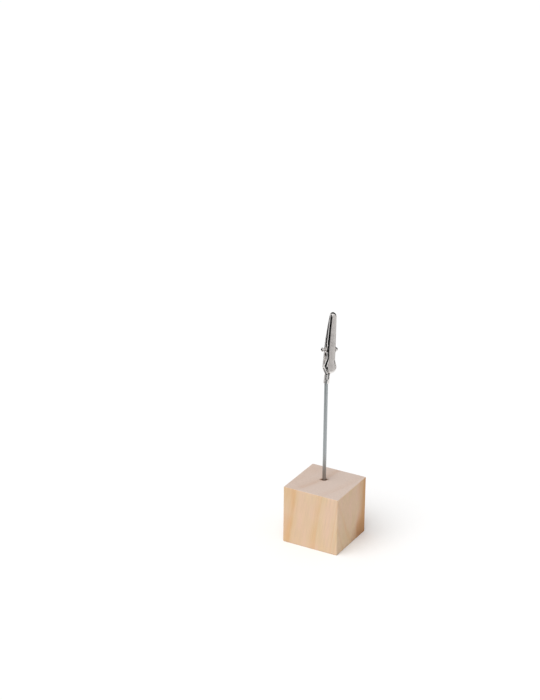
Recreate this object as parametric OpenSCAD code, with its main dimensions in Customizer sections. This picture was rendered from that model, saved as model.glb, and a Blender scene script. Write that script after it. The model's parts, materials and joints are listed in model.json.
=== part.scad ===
// Clip holder: a wooden block, a wire stem and a sprung clip at its top.
// Millimetres. The origin is the middle of the block's underside and Z points up.
// The clip has a frame of its own: X along its hinge pin, -Y to its front and Z to its tip,
// with its origin on the stem's axis at the lower end of the crimp.

/* [Block] */
// Side of the wooden cube
block_side = 30; // [24:1:45]
// Radius of the sanded edges
edge_r = 0.5; // [0.2:0.1:1.5]
// Depth of the drilled hole below the top face
hole_depth = 18; // [10:1:22]
// Place of the hole from the block's middle, left to right
hole_x = -1.6; // [-3:0.1:3]
// Place of the hole from the block's middle, front to back
hole_y = 2; // [-3:0.1:3]
// Width of the hole's worn mouth
mouth_d = 3; // [2.7:0.1:4]
// Depth of the hole's worn mouth
mouth_depth = 1.2; // [0.6:0.1:3]

/* [Stem] */
// Diameter of the steel wire
wire_d = 1.8; // [1.4:0.1:2.2]
// Length of the wire between the block and the clip
stem_rise = 51.9; // [30:0.1:90]
// Length of the wire inside the clip
wire_in_clip = 5; // [4:0.2:6]

/* [Clip] */
// Turn of the clip about the stem
clip_turn = 46; // [0:1:359]
// Lean of the clip towards the right end of its pin
clip_lean = 4.9; // [3:0.1:10]
// Thickness of the stamped sheet
sheet = 0.4; // [0.3:0.05:0.5]
// Outer radius of the sheet's folds
fold_r = 0.8; // [0.65:0.05:1]
// Length of the jaws beyond the hinge pin
jaw_len = 18.4; // [15:0.2:26]
// Width of the jaws at the nose
nose_w = 3; // [2.6:0.1:3.4]
// Height of the hinge pin above the crimp's lower end
pin_up = 17.6; // [16:0.2:22]
// Distance of the hinge pin in front of the stem's axis
pin_fwd = 0.6; // [0.4:0.1:1]

/* [Fixed jaw] */
// Length of the crimp round the wire
crimp_len = 4.4; // [3:0.2:6]
// Length of the neck between the crimp and the channel
neck_len = 3.4; // [3:0.2:5]
// Width of the channel behind the ears
channel_w = 4.9; // [4.6:0.1:5]
// Height of the channel's walls, sheet included
channel_h = 1.55; // [1.3:0.05:1.6]
// Distance of the channel's back from the hinge pin's axis
back_d = 2.4; // [2.2:0.1:2.8]
// Backward lean of the nose
back_slope = 0.8; // [0:0.1:3]
// Width across the ears that carry the pin
ear_w = 5; // [4.8:0.1:5.4]
// Radius of the ears of both jaws round the pin
ear_r = 1.45; // [1.3:0.05:1.5]
// Slant of the crimp's seam across its front
seam_slant = 26; // [0:1:40]

/* [Moving jaw] */
// Width of the waist behind the pin
waist_w = 3.9; // [3.6:0.1:4.1]
// Length of the lever behind the pin
lever_len = 10.9; // [9:0.1:11.2]
// Distance of the front face from the pin's axis
face_d = 2.4; // [2.2:0.1:2.8]
// Backward lean of the front face, from the pin to the tip
face_slope = 7.4; // [7:0.1:8]
// Forward lean of the lever, from the pin to the pad
lever_slope = 12; // [8:0.5:13]
// Depth of the turned rim at the waist
rim_d = 2; // [1.8:0.1:2.2]
// Depth of the turned rim at the end of the pad
pad_rim_d = 1.5; // [1.4:0.05:1.8]
// Outer radius of the softer fold round the pad
pad_fold_r = 1.3; // [1:0.05:1.35]
// Distance of the line where the jaws meet behind the pin's axis
bite_d = 0.5; // [0.3:0.1:0.7]
// Backward lean of the line where the jaws meet
bite_slope = 3.4; // [3:0.1:4]

/* [Pin and spring] */
// Diameter of the hinge pin
pin_d = 1.3; // [1:0.1:1.4]
// Diameter of the pin's round heads
head_d = 2; // [1.7:0.1:2.4]
// Length of each head along the pin
head_len = 1.1; // [0.8:0.1:1.4]
// Bare length of the pin between an ear and a head, with the pin in the middle
pin_neck = 0.7; // [0.65:0.05:0.9]
// How far the loose pin has slid to the left
pin_slide = 0.5; // [0:0.05:0.5]
// Diameter of the spring wire
spring_d = 0.5; // [0.35:0.05:0.5]
// Whole turns of the spring's coil
coil_turns = 3; // [2:1:3]
// Length of the spring's legs
leg_len = 6.4; // [4:0.2:7]

/* [Fits] */
// Gap round the wire in the drilled hole
hole_gap = 0.02; // [0.01:0.01:0.05]
// Gap round the wire in the crimp
crimp_gap = 0.03; // [0.01:0.01:0.05]
// Gap round the pin in the ears of both jaws
pin_gap = 0.05; // [0.03:0.01:0.08]
// Gap between the ears of the two jaws, on each side
ear_gap = 0.05; // [0.05:0.05:0.15]
// Gap between the pad's rim and the channel, on each side
pad_gap = 0.15; // [0.1:0.05:0.3]
// Gap between the rims of the closed jaws
bite_gap = 0.1; // [0.05:0.05:0.2]
// Gap between the coil and the pin
coil_gap = 0.35; // [0.2:0.05:0.4]
// Gap between the spring and the walls that it leans on or runs beside
spring_gap = 0.05; // [0.03:0.01:0.1]

/* [Hidden] */
$fn = 64;

// Flat steps of one fold, of the nose or pad, and of the fixed jaw's neck
FOLD_STEPS = 6;
ARC_STEPS = 7;
NECK_STEPS = 6;
// Where an outline's end stops short of the middle line
ARC_END = 84;
// Where the pad's circle turns into the waist
PAD_TURN = 26;
// How far the jaws' sides are folded. The moving jaw's are square between the ears and flare away from
// them, over these heights in ear radii.
FIXED_BEND = 87;
JAW_BEND = 85;
FLARE_HEIGHTS = [1.4, 2.2];
// How far each side of the crimp is rolled round the wire
ROLL = 171;
// Width of the flat that stays at the crimp's back
CRIMP_FLAT = 0.1;
// How much the crimp has squeezed the wire's radius
SQUEEZE = 0.02;
// Sides and steps of the spring wire
WIRE_SIDES = 8;
COIL_STEPS = 16;
// The moving jaw's shoulders from pad to waist, as [share of the pad's extra half width, height in
// pad radii above the pad's centre]
PAD_SHOULDERS = [[0.5, 0.7], [0.14, 1]];
WAIST_RISE = 0.6;
// Where the waist has gone part of the way to the ears, as [share of the width, share of the height]
WAIST_FLARE = [0.5, 0.6];
// The same for the channel, whose height is given below the ears
CHANNEL_FLARE = [0.6, 0.6];
// Heights between the ears and the nose where the two jaws narrow, and how late the fixed one does
JAW_TAPER = [0.04, 0.12, 0.4, 0.7];
FIXED_TAPER = [0.05, 0.3, 0.65];
TAPER_POWER = 1.5;
// Where the seam starts and ends, as shares of the crimp's length
SEAM_SHARES = [0.25, 0.65];
// How far cutting tools go past what they cut
CUT = 1;

stem_base = block_side - hole_depth;
stem_top = block_side + stem_rise;
barrel_r = wire_d / 2 + crimp_gap + sheet;
crimp_z = crimp_len - pin_up;
channel_z = crimp_z + neck_len;
nose_r = nose_w / 2;
pad_r = channel_w / 2 + pad_gap + sheet;
pad_z = pad_r - lever_len;
jaw_w = ear_w - 2 * (sheet + ear_gap);
ear_hole = pin_d + 2 * pin_gap;

function mix(a, b, s) = a + (b - a) * s;
function step01(z, a, b) = min(1, max(0, (z - a) / (b - a)));
function smooth01(z, a, b) = let (s = step01(z, a, b)) s * s * (3 - 2 * s);
function unit(v) = v / norm(v);

// Heights z in a jaw are measured from the pin. Distances in front of the pin's axis, and behind it:
function face(z) = face_d - z * tan(z > 0 ? face_slope : lever_slope);
function back(z) =
    mix(pin_fwd + barrel_r, back_d + max(0, z) * tan(back_slope), smooth01(z, crimp_z, channel_z));
function bite(z) = bite_d + z * tan(bite_slope);

// Where a jaw's wall ends, measured from the pin's axis towards its own back or face.
function ear(z, plain) =
    abs(z) <= ear_r ? min(plain, -sqrt(max(0, ear_r * ear_r - z * z))) : plain;
function jaw_rim(z) = ear(z, z > 0
    ? -bite(z) + bite_gap / 2
    : face(z) - mix(rim_d, pad_rim_d, smooth01(-z, -pad_z, lever_len)));
function fixed_rim(z) = ear(z, z > 0 ? bite(z) + bite_gap / 2 : back(z) - channel_h);
function jaw_bend(z) = mix(90, JAW_BEND, smooth01(abs(z) / ear_r, FLARE_HEIGHTS[0], FLARE_HEIGHTS[1]));
// Length of a wall from the end of its fold to its rim, which lies the given depth under the flat
function wall_length(depth, r, bend) = (depth - r * (1 - cos(bend))) / sin(bend);

// The right half of an outline runs from the tail to the tip, as [half width, height].
ear_heights = [for (a = [-90:22.5:90]) ear_r * sin(a)];
nose_arc = [for (i = [0:ARC_STEPS]) let (a = ARC_END * i / ARC_STEPS)
    [nose_r * cos(a), jaw_len - nose_r * (1 - sin(a))]];
pad_arc = [for (i = [0:ARC_STEPS]) let (a = mix(-ARC_END, PAD_TURN, i / ARC_STEPS))
    [pad_r * cos(a), pad_z + pad_r * sin(a)]];
function above_ears(s) = mix(ear_r, jaw_len - nose_r, s);
waist_z = pad_z + pad_r + WAIST_RISE;
jaw_outline = concat(
    pad_arc,
    [for (s = PAD_SHOULDERS) [mix(waist_w / 2, pad_r, s[0]), pad_z + pad_r * s[1]]],
    [[waist_w / 2, waist_z]],
    [[mix(waist_w, jaw_w, WAIST_FLARE[0]) / 2, mix(waist_z, -ear_r, WAIST_FLARE[1])]],
    [for (z = ear_heights) [jaw_w / 2, z]],
    [for (s = JAW_TAPER) [mix(jaw_w / 2, nose_r, s), above_ears(s)]],
    nose_arc
);
seam_z = [for (s = SEAM_SHARES) mix(-pin_up, crimp_z, s)];
crimp_half = barrel_r + CRIMP_FLAT / 2;
fixed_outline = concat(
    [for (z = [-pin_up, seam_z[0], (seam_z[0] + seam_z[1]) / 2, seam_z[1]]) [crimp_half, z]],
    [for (i = [0:NECK_STEPS]) let (z = mix(crimp_z, channel_z, i / NECK_STEPS))
        [mix(crimp_half, channel_w / 2, smooth01(z, crimp_z, channel_z)), z]],
    [[channel_w / 2, (channel_z - ear_r) / 2]],
    [[mix(channel_w, ear_w, CHANNEL_FLARE[0]) / 2, -ear_r - CHANNEL_FLARE[1]]],
    [for (z = ear_heights) [ear_w / 2, z]],
    [for (s = FIXED_TAPER) [mix(ear_w / 2, nose_r, pow(s, TAPER_POWER)), above_ears(s)]],
    nose_arc
);

// Outward direction of an outline at one of its points. A closed end goes on as its mirror image.
function outward(line, i, closed) = let (
    last = len(line) - 1,
    before = i > 0 ? line[i - 1] : closed ? [-line[0][0], line[0][1]] : line[0],
    after = i < last ? line[i + 1] : [-line[last][0], line[last][1]],
    along = unit(after - before)
) [along[1], -along[0]];

// A rib is the sheet's section at one point of the outline: over the flat, round the fold and down
// the wall to the rim, on both sides. `front` is 1 for the moving jaw and -1 for the fixed one,
// `level` gives its flat's distance from the pin's axis, and `bend` is how far the fold turns.
function at_rib(side, front, p, n, level, inset, depth) =
    let (z = p[1] - inset * n[1]) [side * (p[0] - inset * n[0]), -front * (level(z) - depth), z];
function half_rib(side, front, p, n, level, centre, r, bend, wall) = concat(
    [for (k = [0:FOLD_STEPS]) let (a = bend * k / FOLD_STEPS)
        at_rib(side, front, p, n, level, centre - r * sin(a), centre - r * cos(a))],
    [at_rib(side, front, p, n, level,
        centre - r * sin(bend) - wall * cos(bend), centre - r * cos(bend) + wall * sin(bend))]
);
function reversed(list) = [for (i = [len(list) - 1:-1:0]) list[i]];
function rib(front, p, n, level, r, bends, wall) = concat(
    half_rib(1, front, p, n, level, r, r, bends[0], wall),
    reversed(half_rib(1, front, p, n, level, r, r - sheet, bends[0], wall)),
    half_rib(-1, front, p, n, level, r, r - sheet, bends[1], wall),
    reversed(half_rib(-1, front, p, n, level, r, r, bends[1], wall))
);

jaw_ribs = [for (i = [0:len(jaw_outline) - 1]) let (
        p = jaw_outline[i],
        r = mix(fold_r, pad_fold_r, smooth01(-p[1], -waist_z, -pad_z)),
        bend = jaw_bend(p[1]),
        wall = wall_length(face(p[1]) - jaw_rim(p[1]), r, bend)
    )
    rib(1, p, outward(jaw_outline, i, true), function (z) face(z), r, [bend, bend], wall)];
fixed_ribs = [for (i = [0:len(fixed_outline) - 1]) let (
        p = fixed_outline[i],
        opened = smooth01(p[1], crimp_z, channel_z),
        slant = (1 - opened) * seam_slant * (2 * smooth01(p[1], seam_z[0], seam_z[1]) - 1),
        r = mix(barrel_r, fold_r, opened),
        bend = mix(ROLL, FIXED_BEND, opened),
        wall = opened * wall_length(back(p[1]) - fixed_rim(p[1]), fold_r, FIXED_BEND)
    )
    rib(-1, p, outward(fixed_outline, i, false), function (z) back(z), r,
        [bend - slant, bend + slant], wall)];

// Stretches one skin over a row of ribs. An open tail shows the sheet's section.
module stamped(ribs, front, open_tail) {
    h = FOLD_STEPS + 2;
    m = 4 * h;
    top = (len(ribs) - 1) * m;
    skin = [for (i = [0:len(ribs) - 2], j = [0:m - 1])
        [i * m + j, i * m + (j + 1) % m, (i + 1) * m + (j + 1) % m, (i + 1) * m + j]];
    // A closed end joins the right half to the left one, outside and inside, and across the rim.
    function closing(o) = concat(
        [for (k = [0:h - 2]) [o + k, o + m - 1 - k, o + m - 2 - k, o + k + 1]],
        [for (k = [0:h - 2]) [o + 2 * h - 1 - k, o + 2 * h - 2 - k, o + 2 * h + k + 1, o + 2 * h + k]],
        [[o + h - 1, o + 3 * h, o + 3 * h - 1, o + h]]
    );
    function section(o) = concat(
        [for (k = [0:h - 2]) [o + k + 1, o + k, o + 2 * h - 1 - k, o + 2 * h - 2 - k]],
        [for (k = [0:h - 2]) [o + 2 * h + k + 1, o + 2 * h + k, o + m - 1 - k, o + m - 2 - k]],
        [[o, o + m - 1, o + 2 * h, o + 2 * h - 1]]
    );
    quads = concat(skin, [for (q = closing(top)) reversed(q)], open_tail ? section(0) : closing(0));
    faces = [for (q = quads, t = [[q[0], q[1], q[2]], [q[0], q[2], q[3]]]) front > 0 ? reversed(t) : t];
    polyhedron(points = [for (r = ribs) each r], faces = faces);
}

// Puts what is drawn in the clip's frame, or about its pin, where the clip stands.
module in_clip() {
    translate([hole_x, hole_y, stem_top]) rotate([0, 0, clip_turn]) rotate([0, clip_lean, 0]) children();
}
module at_pin() {
    in_clip() translate([0, -pin_fwd, pin_up]) children();
}
module along_pin(d, l) {
    rotate([0, 90, 0]) cylinder(d = d, h = l, center = true);
}

module rounded_bar(side, r) {
    linear_extrude(side, center = true) {
        square([side, side - 2 * r], center = true);
        square([side - 2 * r, side], center = true);
        for (x = [-1, 1], y = [-1, 1]) translate([x, y] * (side / 2 - r)) circle(r);
    }
}

module base_block() {
    color("burlywood") difference() {
        translate([0, 0, block_side / 2]) intersection() {
            rounded_bar(block_side, edge_r);
            rotate([90, 0, 0]) rounded_bar(block_side, edge_r);
            rotate([0, 90, 0]) rounded_bar(block_side, edge_r);
        }
        translate([hole_x, hole_y, stem_base]) cylinder(d = wire_d + 2 * hole_gap, h = hole_depth + CUT);
        translate([hole_x, hole_y, block_side - mouth_depth])
            cylinder(d1 = wire_d + 2 * hole_gap, d2 = mouth_d, h = mouth_depth);
    }
}

module stem_rod() {
    color("slategray") {
        translate([hole_x, hole_y, stem_base]) rotate_extrude() {
            square([wire_d / 2, stem_top - stem_base]);
            translate([0, stem_top - stem_base]) intersection() {
                circle(d = wire_d);
                square(wire_d);
            }
        }
        in_clip() cylinder(d = wire_d - 2 * SQUEEZE, h = wire_in_clip);
    }
}

module fixed_jaw() {
    color("silver") difference() {
        at_pin() stamped(fixed_ribs, -1, true);
        in_clip() translate([0, 0, -CUT])
            cylinder(d = wire_d + 2 * crimp_gap, h = crimp_len + neck_len + CUT);
        at_pin() along_pin(ear_hole, ear_w + 2 * CUT);
    }
}

module moving_jaw() {
    color("gainsboro") difference() {
        at_pin() stamped(jaw_ribs, 1, false);
        at_pin() along_pin(ear_hole, jaw_w + 2 * CUT);
    }
}

module pin_head() {
    rotate_extrude() intersection() {
        translate([0, head_len - head_d / 2]) circle(d = head_d);
        square([head_d, head_len]);
    }
}

module hinge_pin() {
    color("darkgray") at_pin() {
        translate([-pin_slide, 0, 0]) {
            along_pin(pin_d, ear_w + 2 * pin_neck);
            for (side = [-1, 1]) rotate([0, 90 * side, 0]) translate([0, 0, ear_w / 2 + pin_neck]) pin_head();
        }
    }
}

// The spring's wire is drawn round the pin in [height, distance in front]: one leg presses on the
// lever, the coil winds round the pin and the other leg stands on the channel's floor.
coil_r = (pin_d + spring_d) / 2 + coil_gap;
coil_end = jaw_w / 2 - sheet - spring_gap - spring_d / 2;
lever_leg = [-leg_len, face(-leg_len) - sheet - spring_gap - spring_d / 2];
floor_leg = [-leg_len, -back(-leg_len) + sheet + spring_gap + spring_d / 2];
first_turn = atan2(lever_leg[0], lever_leg[1]) + acos(coil_r / norm(lever_leg));
floor_turn = atan2(floor_leg[0], floor_leg[1]) - acos(coil_r / norm(floor_leg));
last_turn = 360 * (coil_turns + 1) + floor_turn;
coil_steps = ceil((last_turn - first_turn) / 360 * COIL_STEPS);
spring_path = concat(
    [[coil_end / 2, -lever_leg[1], lever_leg[0]]],
    [for (i = [0:coil_steps]) let (s = i / coil_steps, a = mix(first_turn, last_turn, s))
        [mix(coil_end, -coil_end, s), -coil_r * cos(a), coil_r * sin(a)]],
    [[-coil_end / 2, -floor_leg[1], floor_leg[0]]]
);

module wire(path, d) {
    last = len(path) - 1;
    points = [for (i = [0:last]) let (
            along = unit(path[min(i + 1, last)] - path[max(i - 1, 0)]),
            u = unit([1, 0, 0] - along[0] * along),
            v = cross(along, u)
        )
        for (k = [0:WIRE_SIDES - 1]) let (a = 360 * k / WIRE_SIDES)
            path[i] + d / 2 * (u * cos(a) + v * sin(a))];
    sides = [for (i = [0:last - 1], k = [0:WIRE_SIDES - 1]) let (
            a = i * WIRE_SIDES + k,
            b = i * WIRE_SIDES + (k + 1) % WIRE_SIDES
        )
        each [[a, a + WIRE_SIDES, b], [b, a + WIRE_SIDES, b + WIRE_SIDES]]];
    ends = [[for (k = [0:WIRE_SIDES - 1]) k], [for (k = [WIRE_SIDES - 1:-1:0]) last * WIRE_SIDES + k]];
    polyhedron(points = points, faces = concat(sides, ends));
}

module torsion_spring() {
    color("dimgray") at_pin() wire(spring_path, spring_d);
}

base_block();
stem_rod();
fixed_jaw();
moving_jaw();
hinge_pin();
torsion_spring();
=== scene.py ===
# %% [markdown]
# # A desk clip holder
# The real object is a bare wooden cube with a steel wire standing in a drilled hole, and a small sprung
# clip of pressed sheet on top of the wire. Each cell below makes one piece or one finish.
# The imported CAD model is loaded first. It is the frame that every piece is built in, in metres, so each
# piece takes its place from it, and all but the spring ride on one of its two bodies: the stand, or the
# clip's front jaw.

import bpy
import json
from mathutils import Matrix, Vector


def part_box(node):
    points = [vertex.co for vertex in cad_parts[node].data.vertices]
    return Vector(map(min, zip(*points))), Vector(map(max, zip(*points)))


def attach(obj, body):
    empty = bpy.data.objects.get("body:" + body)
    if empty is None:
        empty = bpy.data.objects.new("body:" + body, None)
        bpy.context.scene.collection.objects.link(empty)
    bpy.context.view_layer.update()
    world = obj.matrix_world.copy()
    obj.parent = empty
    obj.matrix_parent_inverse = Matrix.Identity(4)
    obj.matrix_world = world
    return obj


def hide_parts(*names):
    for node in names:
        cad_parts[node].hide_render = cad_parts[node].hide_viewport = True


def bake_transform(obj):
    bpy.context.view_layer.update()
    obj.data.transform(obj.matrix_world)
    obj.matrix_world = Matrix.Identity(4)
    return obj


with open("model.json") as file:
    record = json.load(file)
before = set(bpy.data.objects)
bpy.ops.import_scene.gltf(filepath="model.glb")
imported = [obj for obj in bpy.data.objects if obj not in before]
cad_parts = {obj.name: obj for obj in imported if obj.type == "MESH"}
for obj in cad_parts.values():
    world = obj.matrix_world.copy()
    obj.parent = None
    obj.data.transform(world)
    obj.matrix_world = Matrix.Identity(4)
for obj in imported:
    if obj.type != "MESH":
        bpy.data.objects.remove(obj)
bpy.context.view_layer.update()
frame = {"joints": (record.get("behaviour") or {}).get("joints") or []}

# %% Modules and lengths
import json
from math import acos, atan2, ceil, cos, degrees, exp, hypot, pi, radians, sin, sqrt, tan

import bmesh
import bpy
from mathutils import Matrix, Vector, noise

MM = 0.001
scene = bpy.context.scene
print("one millimetre is", MM, "of the frame's units")


def mix(a, b, share):
    return a + (b - a) * share


def eased(value, start, end):
    """0 before start, 1 after end, and a smooth rise between them."""
    share = min(1.0, max(0.0, (value - start) / (end - start)))
    return share * share * (3 - 2 * share)


# %% [markdown]
# ## Node trees and colours
# Materials and Geometry Nodes are both trees of nodes. One helper adds a node, sets it and links it.
# Colours are picked as sRGB hex values, as a colour picker shows them, and one function turns them to the
# linear values that Blender's sockets hold.

# %% Helpers for node trees and colours
def add(tree, kind, inputs=None, **settings):
    """Adds a node. inputs maps a socket's name or number to a value, or to the socket or node that feeds it.

    A node stands for the first of its outputs that is in use."""
    node = tree.nodes.new(kind)
    for name, value in settings.items():
        setattr(node, name, value)
    for socket, value in (inputs or {}).items():
        if isinstance(value, bpy.types.Node):
            value = next(output for output in value.outputs if output.enabled)
        if isinstance(value, bpy.types.NodeSocket):
            tree.links.new(value, node.inputs[socket])
        else:
            node.inputs[socket].default_value = value
    return node


def linear(hex_colour):
    """Turns '#rrggbb' to linear red, green and blue, with an alpha of 1."""
    parts = [int(hex_colour[i:i + 2], 16) / 255 for i in (1, 3, 5)]
    return (*(v / 12.92 if v <= 0.04045 else ((v + 0.055) / 1.055) ** 2.4 for v in parts), 1.0)


def new_material(name):
    """A material with its Principled shader, ready for its nodes."""
    material = bpy.data.materials.new(name)
    material.use_nodes = True
    return material, material.node_tree, material.node_tree.nodes["Principled BSDF"]


print("#808080 in linear light:", round(linear("#808080")[0], 3))

# %% [markdown]
# ## Meshes
# Every piece is first worked out as points and faces in millimetres, because that is how such an object is
# drawn. The helper scales them to metres, merges doubles and turns the faces outwards. It prints the volume
# of a closed skin, or how many edges are open, which shows a hole at once.

# %% Helper that makes a piece
# An edge where two faces meet at more than this angle stays sharp
SHARP_DEGREES = 38


def finish_shading(piece, sharp_degrees=SHARP_DEGREES):
    """Smooth shading, kept off edges that are sharper than the given angle."""
    piece.data.shade_smooth()
    piece.data.set_sharp_from_angle(angle=radians(sharp_degrees))


def make_piece(name, points, faces, material, sharp_degrees=SHARP_DEGREES):
    mesh = bpy.data.meshes.new(name)
    mesh.from_pydata([Vector(p) * MM for p in points], [], faces)
    work = bmesh.new()
    work.from_mesh(mesh)
    bmesh.ops.remove_doubles(work, verts=work.verts, dist=1e-7)
    bmesh.ops.recalc_face_normals(work, faces=work.faces)
    if work.calc_volume(signed=True) < 0:
        bmesh.ops.reverse_faces(work, faces=work.faces)
    open_edges = sum(1 for e in work.edges if not e.is_manifold)
    size = f"{open_edges} open edges" if open_edges else f"closed, {work.calc_volume() / MM**3:.1f} mm3"
    print(f"{name}: {len(work.faces)} faces, {size}")
    work.to_mesh(mesh)
    work.free()
    piece = bpy.data.objects.new(name, mesh)
    scene.collection.objects.link(piece)
    mesh.materials.append(material)
    finish_shading(piece, sharp_degrees)
    return piece


print("edges stay sharp from", SHARP_DEGREES, "degrees")

# %% [markdown]
# ## The camera
# The photograph was taken with a long lens from about a metre away, a little above the clip. The place and
# the turn were worked out from the corners of the cube, so that its edges fall on the same pixels.
# A 36 mm sensor lies along the picture's long side, which gives the focal length.

# %% Camera
CAMERA_PLACE = Vector((396.22, -762.83, 460.04)) * MM
AZIMUTH, ELEVATION, ROLL = radians(29.291), radians(22.745), radians(0.538)
FOCAL_LENGTH = 100.4

back = Vector((sin(AZIMUTH) * cos(ELEVATION), -cos(AZIMUTH) * cos(ELEVATION), sin(ELEVATION)))
right = Vector((0, 0, 1)).cross(back).normalized()
up = back.cross(right)
turned_right = cos(ROLL) * right + sin(ROLL) * up
turned_up = cos(ROLL) * up - sin(ROLL) * right
camera = bpy.data.objects.new("camera", bpy.data.cameras.new("camera"))
scene.collection.objects.link(camera)
camera.data.lens = FOCAL_LENGTH
camera_turn = Matrix((turned_right, turned_up, back)).transposed().to_4x4()
camera.matrix_world = Matrix.Translation(CAMERA_PLACE) @ camera_turn
scene.camera = camera
print("camera distance to the clip in metres:", round((CAMERA_PLACE - Vector((0, 0, 0.1))).length, 3))

# %% [markdown]
# ## Softwood
# The cube is sawn and lightly sanded softwood, such as pine, left bare. A tree's wood is pale early wood
# with bands of darker, more orange late wood, one band a year. The bands are shells round the tree's heart,
# so the material works in three dimensions: the distance from a slanted heart line gives the ring, and the
# same ring shows as a streak on a side face and as an arc on the top. Streaks drawn on each face by itself
# would be simpler, but they would not meet at the edges.

# %% Softwood: its patterns
BLOCK_LOW, BLOCK_HIGH = (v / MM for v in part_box("base_block"))
SIDE = BLOCK_HIGH.x - BLOCK_LOW.x
HOLE_X, HOLE_Y = -1.6, 2.0


def patch_scale(width, length):
    """Scale for a pattern of the given width across the grain and length along it, in millimetres."""
    return 1 / width, 1 / width, 1 / length


pine, tree, shader = new_material("sanded_bare_softwood")
spot = add(tree, "ShaderNodeTexCoord")
in_mm = add(tree, "ShaderNodeVectorMath", {0: spot.outputs["Object"], 1: (1000, 1000, 1000)},
            operation="MULTIPLY")
# The grain leans from the vertical, to the left on the way down
GRAIN_LEAN = radians(-8)
grain = add(tree, "ShaderNodeMapping", {"Vector": in_mm, "Rotation": (0, GRAIN_LEAN, 0)})
# Patterns in the wood: width across the grain and length along it in millimetres, and layers of detail.
# Fibres are a few hundredths of a millimetre wide: too fine to show, so they are drawn as bundles.
# Patches are broad and soft, and pores are the cut ends of the cells, which show on the end grain only
PATTERNS = {"wander": (9, 40, 2), "fibre": (0.3, 12, 3), "patch": (5, 16, 2), "pore": (0.6, 10, 4)}
pattern = {}
for name, (width, length, layers) in PATTERNS.items():
    place = add(tree, "ShaderNodeMapping", {"Vector": grain, "Scale": patch_scale(width, length)})
    pattern[name] = add(tree, "ShaderNodeTexNoise", {"Vector": place, "Scale": 1.0, "Detail": layers})
print("block side in mm:", round(SIDE, 2), "and patterns:", list(pattern))

# %% Softwood: where each ring lies
# Wood is never straight: the rings wander by about a millimetre, slowly along the grain
WANDER = 2.2
pushed = add(tree, "ShaderNodeVectorMath", {0: pattern["wander"].outputs["Color"], 1: (0.5, 0.5, 0.5)},
             operation="SUBTRACT")
pushed = add(tree, "ShaderNodeVectorMath", {0: pushed, 1: (WANDER, WANDER, 0), 2: grain},
             operation="MULTIPLY_ADD")
flat_spot = add(tree, "ShaderNodeVectorMath", {0: pushed, 1: (1, 1, 0)}, operation="MULTIPLY")
HEART = (-150, 40, 0)
from_heart = add(tree, "ShaderNodeVectorMath", {0: flat_spot, 1: HEART}, operation="DISTANCE")
RING_FROM, RING_TO = 140, 180
ring = add(tree, "ShaderNodeMapRange", {"Value": from_heart, "From Min": RING_FROM, "From Max": RING_TO})
print("rings drawn from", RING_FROM, "to", RING_TO, "mm from the heart")

# %% Softwood: the late wood of each ring
# Distance from the heart in millimetres, and how dark the wood is there: a slow rise, then a sharp drop
LATE_WOOD = [(140, 0.5), (143, 0.28), (145.6, 0.4), (148.6, 0.9), (150, 0.25), (151.5, 0.1), (157, 0.06),
             (161.9, 0.45), (162.5, 0.08), (169.6, 0.05), (170.1, 0.42), (170.5, 0.05), (171.7, 0.04),
             (172, 0.36), (172.3, 0.04), (180, 0.12)]
late = add(tree, "ShaderNodeValToRGB", {"Fac": ring})
late.color_ramp.interpolation = "EASE"
stops = late.color_ramp.elements
while len(stops) < len(LATE_WOOD):
    stops.new(0.5)
for stop, (distance, dark) in zip(stops, LATE_WOOD):
    stop.position = (distance - RING_FROM) / (RING_TO - RING_FROM)
    stop.color = (dark, dark, dark, 1)
print("rings in the wood:", sum(1 for _, dark in LATE_WOOD if dark >= 0.4))

# %% Softwood: fibres and the colour of the long grain
# Some patches are pinker and some yellower
patchy = add(tree, "ShaderNodeMapRange", {"Value": pattern["patch"], "From Min": 0.35, "From Max": 0.65})
early_wood = add(tree, "ShaderNodeMix", {"Factor": patchy, 6: linear("#E7C7AD"), 7: linear("#E2C7A3")},
                 data_type="RGBA")
# The late wood is stronger in some places than in others
strength_at = add(tree, "ShaderNodeMapping", {"Vector": grain, "Location": (7, 3, 1),
                                              "Scale": patch_scale(8, 12)})
strength = add(tree, "ShaderNodeTexNoise", {"Vector": strength_at, "Scale": 1.0, "Detail": 1.0})
strength = add(tree, "ShaderNodeMapRange", {"Value": strength, "From Min": 0.3, "From Max": 0.62,
                                            "To Min": 0.45, "To Max": 1.0})
late_here = add(tree, "ShaderNodeMath", {0: late.outputs["Color"], 1: strength}, operation="MULTIPLY")
long_grain = add(tree, "ShaderNodeMix", {"Factor": late_here, 6: early_wood, 7: linear("#E0AE7A")},
                 data_type="RGBA")
fibre_tone = add(tree, "ShaderNodeMapRange", {"Value": pattern["fibre"], "From Min": 0.3, "From Max": 0.7,
                                              "To Min": 0.94, "To Max": 1.05})
long_grain = add(tree, "ShaderNodeVectorMath", {0: long_grain, 3: fibre_tone}, operation="SCALE")
print("fibre bundles in mm:", PATTERNS["fibre"][:2])
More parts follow.
